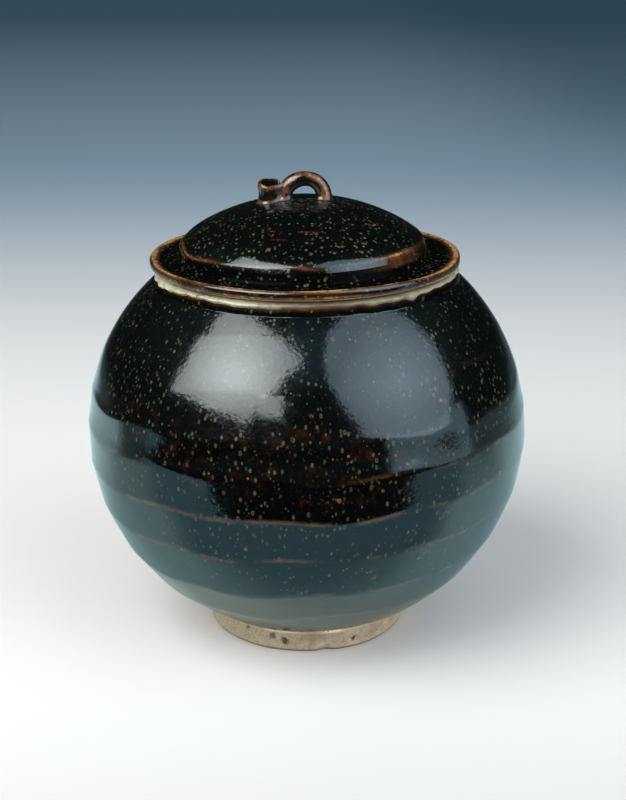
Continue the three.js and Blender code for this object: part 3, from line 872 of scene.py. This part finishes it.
def black_glaze(name, low_flecks, upper_flecks, clear, squeeze, blur, shine=0.5):
    """Black, rusty where the marks say, with olive and cream flecks. Their share changes with height, clear
    says how plainly they show, and a squeeze below 1 draws them out upright. The blur is the roughness at
    the smoothest places, and a shine of 0.5 is the full reflection of the glaze."""
    material, tree, shader, coords = new_material(name)
    height = place(tree, "ShaderNodeSeparateXYZ", {"Vector": coords}).outputs["Z"]
    grain = noise(tree, stretched(tree, coords, (1, 1, 0.45)), 520, 4, 0.65)
    drift = noise(tree, coords, 140, 4, 0.6)
    blotch = ramp(tree, noise(tree, coords, 210, 5, 0.7), 0.5, 0.8)
    rusty = times(tree, mark(tree, "rusty"), blotch)
    streak = math_node(tree, "MAXIMUM", math_node(tree, "SUBTRACT", mark(tree, "rusty"), 1.0), 0.0)
    streak = times(tree, streak, ramp(tree, grain, 0.4, 0.62, 0.0, 0.7))
    rusty = plus(tree, rusty, streak, True)
    colour = mix_colour(tree, rusty, BLACK, RED_BROWN)
    ragged = ramp(tree, grain, 0.2, 0.8, -0.14, 0.14)
    off_crest = math_node(tree, "ABSOLUTE", plus(tree, mark(tree, "thread_sin"), ragged))
    on_crest = ramp(tree, mark(tree, "thread_cos"), 0.0, 0.2)
    line = times(tree, ramp(tree, off_crest, 0.5, 0.08), on_crest)
    line = times(tree, line, mark(tree, "worn"))
    broken = ramp(tree, noise(tree, coords, 90, 4, 0.65), 0.4, 0.62, 0.08, 1.0)
    colour = mix_colour(tree, times(tree, line, broken), colour, RIDGE_BROWN)
    uneven_run = ramp(tree, drift, 0.32, 0.6, 0.6, 1.15)
    thin = times(tree, mark(tree, "thin"), uneven_run)
    thin = times(tree, thin, ramp(tree, grain, 0.3, 0.6, 0.55, 1.0), True)
    colour = mix_colour(tree, thin, colour, RUST)
    colour = mix_colour(tree, ramp(tree, thin, 0.62, 1.0, 0, 0.8), colour, AMBER)
    upright = stretched(tree, coords, (1, 1, squeeze))
    share = ramp(tree, height, *BELLY_FLECKS, low_flecks, 0.8)
    share = times(tree, share, ramp(tree, height, *SHOULDER_FLECKS, 1.0, upper_flecks))
    share = times(tree, share, ramp(tree, noise(tree, coords, 60, 2, 0.5), 0.35, 0.65, 0.4, 1.4))
    coarse, coarse_tint = spots(tree, upright, 1.36, 0.62, share, 0.7)
    fine, _ = spots(tree, upright, 0.92, 0.25, 0.6)
    fleck = mix_colour(tree, ramp(tree, coarse_tint, 0.2, 1.0), OLIVE, CREAM)
    colour = mix_colour(tree, times(tree, fine, 0.6), colour, OLIVE)
    colour = mix_colour(tree, times(tree, coarse, clear), colour, fleck)
    iron, _ = spots(tree, coords, 6.5, 0.95, 0.5)
    embers, _ = spots(tree, coords, 3.6, 0.7, 0.5)
    embers = times(tree, embers, ramp(tree, mark(tree, "rusty"), 0.25, 0.6))
    iron = times(tree, math_node(tree, "MAXIMUM", iron, embers), ramp(tree, grain, 0.4, 0.55))
    colour = mix_colour(tree, iron, colour, RUST)
    scuffs = ramp(tree, noise(tree, stretched(tree, coords, (0.45, 1.3, 1)), 800, 4, 0.75), 0.5, 0.72)
    rubbed = mark(tree, "rubbed")
    scuffed = times(tree, rubbed, scuffs)
    colour = mix_colour(tree, times(tree, scuffed, 0.8), colour, DUST)
    dimples = noise(tree, coords, 850, 2, 0.5)
    waves = noise(tree, coords, 160, 2, 0.5)
    relief = plus(tree, times(tree, waves, 2.0), dimples)
    relief = plus(tree, relief, times(tree, scuffed, 0.6))
    surface = place(tree, "ShaderNodeBump", {"Height": relief, "Distance": 0.028 * MM, "Strength": 1.0})
    dull = plus(tree, times(tree, rubbed, 0.15), times(tree, scuffed, 0.25))
    dull = plus(tree, dull, times(tree, coarse, 0.08))
    gloss = plus(tree, ramp(tree, grain, 0.3, 0.7, blur, blur + 0.06), dull)
    feed(tree, shader, Base_Color=colour, Roughness=gloss, IOR=GLAZE_IOR, Specular_IOR_Level=shine,
         Normal=surface.outputs[0])
    return material


dress(outer_glaze,
      black_glaze("black_glaze_jar", upper_flecks=0.9, **ON_JAR),
      black_glaze("dull_glaze_collar", upper_flecks=0.5, shine=DULL, **ON_JAR))
dress(cover_coat,
      black_glaze("black_glaze_cover", upper_flecks=1.2, clear=1.0, **ON_COVER),
      black_glaze("dull_glaze_channel", upper_flecks=1.0, clear=0.8, shine=DULL, **ON_COVER))

# %% [markdown]
# ### Brown glaze
# On the thin coil the glaze ran off the crests and gathered in the hollows, so the handle is mottled rust
# and black. The lining inside the jar is the same glaze poured thin, an even dark brown.

# %% Brown glaze
def brown_glaze(name, bare, gathered, contrast, shine=0.5):
    """Between two browns: bare where the mark is high, gathered where it is low, broken by noise."""
    material, tree, shader, coords = new_material(name)
    mottle = noise(tree, coords, 420, 4, 0.6)
    share = plus(tree, mark(tree, "thin"), ramp(tree, mottle, 0.3, 0.7, -contrast, contrast))
    colour = mix_colour(tree, ramp(tree, share, 0.3, 0.95), gathered, bare)
    colour = mix_colour(tree, ramp(tree, share, 1.15, 1.6, 0, 0.8), colour, AMBER)
    mask, _ = spots(tree, coords, 1.6, 0.34, 0.4)
    colour = mix_colour(tree, times(tree, mask, 0.5), colour, OLIVE)
    surface = place(tree, "ShaderNodeBump", {"Height": mottle, "Distance": 0.03 * MM, "Strength": 1.0})
    feed(tree, shader, Base_Color=colour, Roughness=ramp(tree, mottle, 0.3, 0.7, 0.06, 0.12), IOR=GLAZE_IOR,
         Specular_IOR_Level=shine, Normal=surface.outputs[0])
    return material


HANDLE_BROWNS = ((0.125, 0.045, 0.018, 1), (0.006, 0.005, 0.0035, 1), 0.45)
LINING_BROWNS = ((0.09, 0.035, 0.014, 1), (0.03, 0.013, 0.007, 1), 0.9)
handle_glaze = brown_glaze("brown_glaze_handle", *HANDLE_BROWNS)
dress(handle_loop, handle_glaze)
dress(rolled_tail, handle_glaze, brown_glaze("dull_glaze_tail", *HANDLE_BROWNS, shine=DULL))
dress(inner_glaze, brown_glaze("brown_glaze_lining", *LINING_BROWNS))

# %% [markdown]
# ### Fired clay and slip
# The body is a buff stoneware with iron specks, flushes from the fire and the fine lines of the turning
# tool. Where the jar's lip was washed with slip, it is cream and glossy; the clay itself is dull. On the
# jar, painted shade darkens the lowest millimetre of the foot and painted light brightens the pale line
# under the coat.

# %% Clay
CLAY_IOR = 1.7
BUFF = (0.47, 0.375, 0.25, 1)
STAINED = (0.25, 0.175, 0.115, 1)
FLUSHED = (0.58, 0.40, 0.28, 1)
SPECK = (0.03, 0.019, 0.012, 1)
# iron brown of the burst lumps, also used as painted contact shadow at the bottom of the foot
IRON_BROWN_AND_CONTACT_SHADE = (0.12, 0.075, 0.04, 1)
# pale line of the clay, made brighter as painted light against the shade under the belly
PALE_AND_PAINTED_LIGHT = (0.92, 0.82, 0.65, 1)
SLIP = (0.52, 0.46, 0.32, 1)
SLIP_THIN = (0.13, 0.08, 0.035, 1)
SLIP_EDGE_BROWN = (0.085, 0.036, 0.013, 1)


def fired_clay(name, washed):
    """Buff with stains and specks; where washed, cream and glossy by the slip mark, with painted light and
    shade on the foot.
    """
    material, tree, shader, coords = new_material(name)
    stain = noise(tree, coords, 95, 5, 0.65)
    grain = noise(tree, coords, 1500, 3, 0.65)
    colour = mix_colour(tree, ramp(tree, stain, 0.45, 0.72, 0, 0.8), BUFF, STAINED)
    colour = mix_colour(tree, ramp(tree, grain, 0.42, 0.7, 0.0, 0.8), colour, STAINED)
    flush = ramp(tree, noise(tree, coords, 210, 4, 0.7), 0.48, 0.68, 0, 0.6)
    colour = mix_colour(tree, flush, colour, FLUSHED)
    specks, _ = spots(tree, coords, 2.3, 0.45, 0.45)
    dust, _ = spots(tree, coords, 0.8, 0.2, 0.75)
    tooling = noise(tree, stretched(tree, coords, (0.1, 0.1, 1)), 800, 2, 0.5)
    relief = plus(tree, grain, times(tree, tooling, 0.8))
    rough = ramp(tree, grain, 0.3, 0.7, 0.75, 0.95)
    if washed:
        slip = mark(tree, "slip")
        burst = noise(tree, coords, 480, 4, 0.65)
        lumps = plus(tree, mark(tree, "iron"), ramp(tree, burst, 0.3, 0.7, -0.4, 0.3))
        height = place(tree, "ShaderNodeSeparateXYZ", {"Vector": coords}).outputs["Z"]
        # Painted contact shadow: the lowest millimetre of the foot is mixed towards dark brown where it
        # stands on the floor.
        colour = mix_colour(tree, ramp(tree, height, 1.0 * MM, 0.3 * MM, 0, 0.7), colour, IRON_BROWN_AND_CONTACT_SHADE)
        colour = mix_colour(tree, ramp(tree, lumps, 0.2, 0.45, 0, 0.6), colour, IRON_BROWN_AND_CONTACT_SHADE)
        colour = mix_colour(tree, ramp(tree, lumps, 0.5, 0.75, 0, 0.85), colour, SPECK)
        streaky = ramp(tree, noise(tree, coords, 260, 4, 0.65), 0.45, 0.75, 0, 0.85)
        pale = mix_colour(tree, streaky, SLIP, SLIP_THIN)
        # Painted light: the pale line under the coat is brightened to lift the shade under the belly's
        # overhang.
        pale_line_and_light = times(tree, mark(tree, "pale_line_and_light"), ramp(tree, stain, 0.3, 0.5))
        colour = mix_colour(tree, pale_line_and_light, colour, PALE_AND_PAINTED_LIGHT)
    colour = mix_colour(tree, times(tree, specks, 0.8), colour, SPECK)
    colour = mix_colour(tree, times(tree, dust, 0.6), colour, SPECK)
    if washed:
        colour = mix_colour(tree, ramp(tree, slip, 0.0, 0.35), colour, SLIP_EDGE_BROWN)
        colour = mix_colour(tree, ramp(tree, slip, 0.35, 1.0), colour, pale)
        rough = math_node(tree, "SUBTRACT", rough, times(tree, slip, 0.68))
        drawn_out = stretched(tree, coords, (1, 1, 0.4))
        ripples = times(tree, noise(tree, drawn_out, 650, 3, 0.6), 2.2)
        relief = place(tree, "ShaderNodeMix", {0: slip, 2: relief, 3: ripples}).outputs[0]
    surface = place(tree, "ShaderNodeBump", {"Height": relief, "Distance": 0.12 * MM, "Strength": 1.0})
    feed(tree, shader, Base_Color=colour, Roughness=rough, IOR=CLAY_IOR, Normal=surface.outputs[0])
    return material


dress(thrown_jar, fired_clay("fired_clay_jar", washed=True))
dress(thrown_cover, fired_clay("fired_clay_cover", washed=False))
print("materials", sorted(m.name for m in bpy.data.materials))

# %% [markdown]
# ## Riding on the frame
# Each piece moves with its CAD body and stands for the node that it dresses, so that the cover and all
# that is on it lift together.

# %% Bodies, nodes and slots
for piece, body, node, slot in (
    (thrown_jar, "jar", "jar_body", "stoneware_clay"),
    (outer_glaze, "jar", "jar_glaze", "black_glaze"),
    (inner_glaze, "jar", "lining_glaze", "brown_glaze"),
    (thrown_cover, "cover", "cover_body", "stoneware_clay"),
    (cover_coat, "cover", "cover_glaze", "black_glaze"),
    (handle_loop, "cover", "loop_handle", "brown_glaze"),
    (rolled_tail, "cover", "curled_tail", "brown_glaze"),
):
    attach(piece, body)
    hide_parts(node)

# %% [markdown]
# ## The studio
# The jar stands on a pale floor between two large soft boxes, the left one brighter. A glossy pot
# shows its whole surroundings, so their places were read from the reflections: each box lies where a ray
# from the camera, mirrored on the belly, meets it. A black card on the floor in front keeps the middle of
# the belly dark. It shows in reflections only. As the camera sees it, the paper of the floor carries
# painted shade: darker just in front of the jar, where the boxes light it most, and fading to blue and
# dark far behind the jar, darker still far behind on the right. In reflections it has colours of its
# own, which the lower half of the belly gave: painted light and shade, bright beside and just behind the
# jar, pale by its foot, dark in front and dim further off.

# %% Floor, card and world
# The paper as the camera sees it: all but the colour beside the jar are painted shade.
PAPER_NEAR_PAINTED_SHADE = (0.555, 0.502, 0.488, 1)
PAPER_BESIDE = (0.79, 0.73, 0.70, 1)
PAPER_BEHIND_PAINTED_SHADE = (0.325, 0.44, 0.54, 1)
PAPER_FAR_PAINTED_SHADE = (0.103, 0.217, 0.316, 1)
PAPER_CORNER_PAINTED_SHADE = (0.06, 0.155, 0.225, 1)
# Colours the floor shows only in reflections: painted light and shade, bright beside and behind the jar and
# by its foot, dark in front and dim far off.
MIRRORED_LEFT = (0.35, 0.52, 0.52, 1)
MIRRORED_RIGHT = (0.46, 0.67, 0.68, 1)
MIRRORED_BEHIND = (0.60, 0.79, 0.79, 1)
MIRRORED_FRONT_SHADE = (0.125, 0.245, 0.285, 1)
MIRRORED_FOOT = (0.58, 0.64, 0.57, 1)
FAR_LEFT = (0.09, 0.125, 0.12, 1)
FAR_RIGHT = (0.125, 0.19, 0.19, 1)
MIRRORED_FAR_SHADE = (0.03, 0.055, 0.055, 1)
FLOOR_HALF = 9.0
FLOOR_DROP = 0.0002
CARD_HALF = 4.0
CARD_EDGE = -0.172
CARD_HEIGHT = 0.001


def plain_sheet(name, low, high, height):
    """A flat sheet between two corners, at a height, in metres."""
    mesh = bpy.data.meshes.new(name)
    (left, near), (right, far) = low, high
    corners = [(left, near, height), (right, near, height), (right, far, height), (left, far, height)]
    mesh.from_pydata(corners, [], [(0, 1, 2, 3)])
    sheet = bpy.data.objects.new(name, mesh)
    bpy.context.scene.collection.objects.link(sheet)
    return sheet


floor = plain_sheet("floor", (-FLOOR_HALF, -FLOOR_HALF), (FLOOR_HALF, FLOOR_HALF), -FLOOR_DROP)
material, tree, shader, coords = new_material("floor_paper")
place_on_floor = place(tree, "ShaderNodeSeparateXYZ", {"Vector": coords}).outputs
floor_x, floor_y = place_on_floor["X"], place_on_floor["Y"]
reach = place(tree, "ShaderNodeVectorMath", {0: coords}, operation="LENGTH").outputs["Value"]
mirrored = place(tree, "ShaderNodeLightPath").outputs["Is Glossy Ray"]
# Painted shade on the paper as the camera sees it: darker in front, then bluer and darker far behind and far
# to the right.
seen_paper = mix_colour(tree, ramp(tree, floor_y, -0.2, 0.0), PAPER_NEAR_PAINTED_SHADE, PAPER_BESIDE)
seen_paper = mix_colour(tree, ramp(tree, floor_y, 0.15, 0.95), seen_paper, PAPER_BEHIND_PAINTED_SHADE)
seen_paper = mix_colour(tree, ramp(tree, floor_y, 0.9, 3.0), seen_paper, PAPER_FAR_PAINTED_SHADE)
far_right_shade = times(tree, ramp(tree, floor_x, 0.05, 0.45), ramp(tree, floor_y, 0.4, 1.4))
seen_paper = mix_colour(tree, times(tree, far_right_shade, 0.6), seen_paper, PAPER_CORNER_PAINTED_SHADE)
# Painted reflection: the floor's light and shade as the belly mirrors it.
in_front = ramp(tree, floor_y, -0.045, -0.085)
on_right = ramp(tree, floor_x, -0.05, 0.1)
close_by = mix_colour(tree, on_right, MIRRORED_LEFT, MIRRORED_RIGHT)
close_by = mix_colour(tree, ramp(tree, floor_y, 0.0, 0.12), close_by, MIRRORED_BEHIND)
far_off = mix_colour(tree, on_right, FAR_LEFT, FAR_RIGHT)
far_off = mix_colour(tree, ramp(tree, reach, 0.6, 1.4), far_off, MIRRORED_FAR_SHADE)
lit_behind = times(tree, ramp(tree, floor_y, 0.02, 0.14), ramp(tree, floor_x, -0.05, 0.1, 0.27, 0.15))
lit_reach = math_node(tree, "SUBTRACT", reach, lit_behind)
beside_pot = mix_colour(tree, ramp(tree, lit_reach, 0.12, 0.38), close_by, far_off)
painted_reflection = mix_colour(tree, in_front, beside_pot, MIRRORED_FRONT_SHADE)
painted_reflection = mix_colour(tree, ramp(tree, reach, 0.064, 0.05), painted_reflection, MIRRORED_FOOT)
paper = mix_colour(tree, mirrored, seen_paper, painted_reflection)
feed(tree, shader, Base_Color=paper, Roughness=0.9, Specular_IOR_Level=0.1)
dress(floor, material)

card = plain_sheet("black_card", (-CARD_HALF, -CARD_HALF), (CARD_HALF, CARD_EDGE), CARD_HEIGHT)
material, tree, shader, coords = new_material("card_black")
feed(tree, shader, Base_Color=(0, 0, 0, 1), Roughness=1.0, Specular_IOR_Level=0.0)
dress(card, material)
card.visible_camera = False
card.visible_diffuse = False
card.visible_shadow = False

ROOM_DARK = (0.006, 0.013, 0.0125, 1)
ROOM_HIGH = (0.021, 0.047, 0.045, 1)
ROOM_BEHIND = (0.007, 0.011, 0.011, 1)
ROOM_OVERHEAD = (0.06, 0.135, 0.175, 1)
ROOM_FILL = (0.28, 0.29, 0.30, 1)
ROOM_SEEN = (0.62, 0.68, 0.74, 1)
OVERHEAD = (0, -0.47, 0.88)  # the way from the pot to a paler patch of the ceiling
world = bpy.data.worlds.new("studio")
bpy.context.scene.world = world
world.use_nodes = True
tree = world.node_tree
tree.nodes.clear()
path = place(tree, "ShaderNodeLightPath").outputs
towards = place(tree, "ShaderNodeTexCoord").outputs["Generated"]
heading = place(tree, "ShaderNodeSeparateXYZ", {"Vector": towards}).outputs
aside = math_node(tree, "ABSOLUTE", heading["X"])
high_aside = times(tree, ramp(tree, heading["Z"], 0.2, 0.65), ramp(tree, aside, 0.15, 0.6))
dome = mix_colour(tree, high_aside, ROOM_DARK, ROOM_HIGH)
behind = math_node(tree, "SUBTRACT", heading["Y"], times(tree, aside, 0.6))
dome = mix_colour(tree, ramp(tree, behind, 0.0, 0.3), dome, ROOM_BEHIND)
overhead = place(tree, "ShaderNodeVectorMath", {0: towards, 1: OVERHEAD}, operation="DOT_PRODUCT")
dome = mix_colour(tree, ramp(tree, overhead.outputs["Value"], 0.93, 1.0), dome, ROOM_OVERHEAD)
sky = mix_colour(tree, path["Is Glossy Ray"], ROOM_FILL, dome)
sky = mix_colour(tree, path["Is Camera Ray"], sky, ROOM_SEEN)
backdrop = place(tree, "ShaderNodeBackground", {"Color": sky, "Strength": 1.0})
tree.links.new(backdrop.outputs[0], place(tree, "ShaderNodeOutputWorld").inputs["Surface"])

# %% [markdown]
# A soft box is an area light. Its power is its brightness times its area times pi, so the brightness,
# which is what the glaze mirrors, stays the same when the box is made larger or moved. The cloth of a box
# is brighter over its lamp, so each has a core of nested ellipses. They hang at different distances,
# because of lamps in one plane a ray meets only the first. A strip beside the left box widens its lower
# end, and a dim reflector stands under the right one. Two fills, which the glaze does not mirror, light
# the floor and the foot.

# %% Soft boxes
BELLY_POINT = Vector((0, -0.055, 0.1008))


def soft_box(name, shape, azimuth, elevation, distance, size, brightness, colour, mirrored=True):
    """An area light seen from the belly at an azimuth (0 to the front, 90 to the right) and elevation."""
    a, e = math.radians(azimuth), math.radians(elevation)
    direction = Vector((math.sin(a) * math.cos(e), -math.cos(a) * math.cos(e), math.sin(e)))
    lamp = bpy.data.lights.new(name, "AREA")
    lamp.shape = shape
    lamp.size, lamp.size_y = size
    lamp.energy = brightness * math.pi * size[0] * size[1] * (math.pi / 4 if shape == "ELLIPSE" else 1)
    lamp.color = colour
    box = bpy.data.objects.new(name, lamp)
    box.location = BELLY_POINT + direction * distance
    box.rotation_euler = direction.to_track_quat("Z", "Y").to_euler()
    box.visible_camera = False
    box.visible_glossy = mirrored
    bpy.context.scene.collection.objects.link(box)
    print(name, "at", [round(x, 2) for x in box.location], "power", round(lamp.energy, 1))


COOL_WHITE = (0.91, 1.0, 1.01)
PALE_BLUE = (0.68, 0.92, 1.10)
BLUE_GREEN = (0.60, 0.97, 1.15)
WARM_WHITE = (1.0, 0.98, 0.95)
LEFT_AWAY = 0.9
RIGHT_AWAY = 1.0
CORES = (1.5, 1.2, 0.9, 0.6, 0.35)  # the size of each nested ellipse as a share of the core's
soft_box("left_box", "RECTANGLE", -55.5, 44, LEFT_AWAY, (0.84, 0.82), 2.5, COOL_WHITE)
soft_box("left_fill", "RECTANGLE", -54.5, 44, LEFT_AWAY, (0.86, 0.82), 2.3, COOL_WHITE, mirrored=False)
soft_box("right_box", "ELLIPSE", 58, 37, RIGHT_AWAY, (1.26, 1.5), 1.05, PALE_BLUE)
for share in CORES:
    closer = 0.06 - 0.04 * share
    left_size = (0.58 * share, 0.5 * share)
    right_size = (0.78 * share, 0.72 * share)
    soft_box(f"left_core_{share}", "ELLIPSE", -51.5, 43.5, LEFT_AWAY - closer, left_size, 0.66, COOL_WHITE)
    soft_box(f"right_core_{share}", "ELLIPSE", 59, 34, RIGHT_AWAY - closer, right_size, 0.23, PALE_BLUE)
soft_box("left_strip", "RECTANGLE", -20.4, 28.5, 1.065, (0.25, 0.27), 2.6, COOL_WHITE)
soft_box("right_reflector", "RECTANGLE", 66, 0, RIGHT_AWAY, (0.9, 0.36), 0.7, BLUE_GREEN)
soft_box("right_fill", "RECTANGLE", 72, 12, 1.2, (0.8, 0.4), 6.0, WARM_WHITE, mirrored=False)

# %% [markdown]
# The camera looks down at the jar from a little above, with a long lens, as the picture does.

# %% Camera
LENS = 66.3
CAMERA_PLACE = (0.0021, -0.4667, 0.2344)
CAMERA_PITCH = 18.7
lens = bpy.data.cameras.new("camera")
lens.lens = LENS
lens.sensor_width = 36
camera = bpy.data.objects.new("camera", lens)
camera.location = CAMERA_PLACE
camera.rotation_euler = (math.radians(90 - CAMERA_PITCH), 0, 0)
bpy.context.scene.collection.objects.link(camera)
bpy.context.scene.camera = camera
bpy.context.scene.view_settings.view_transform = "Standard"
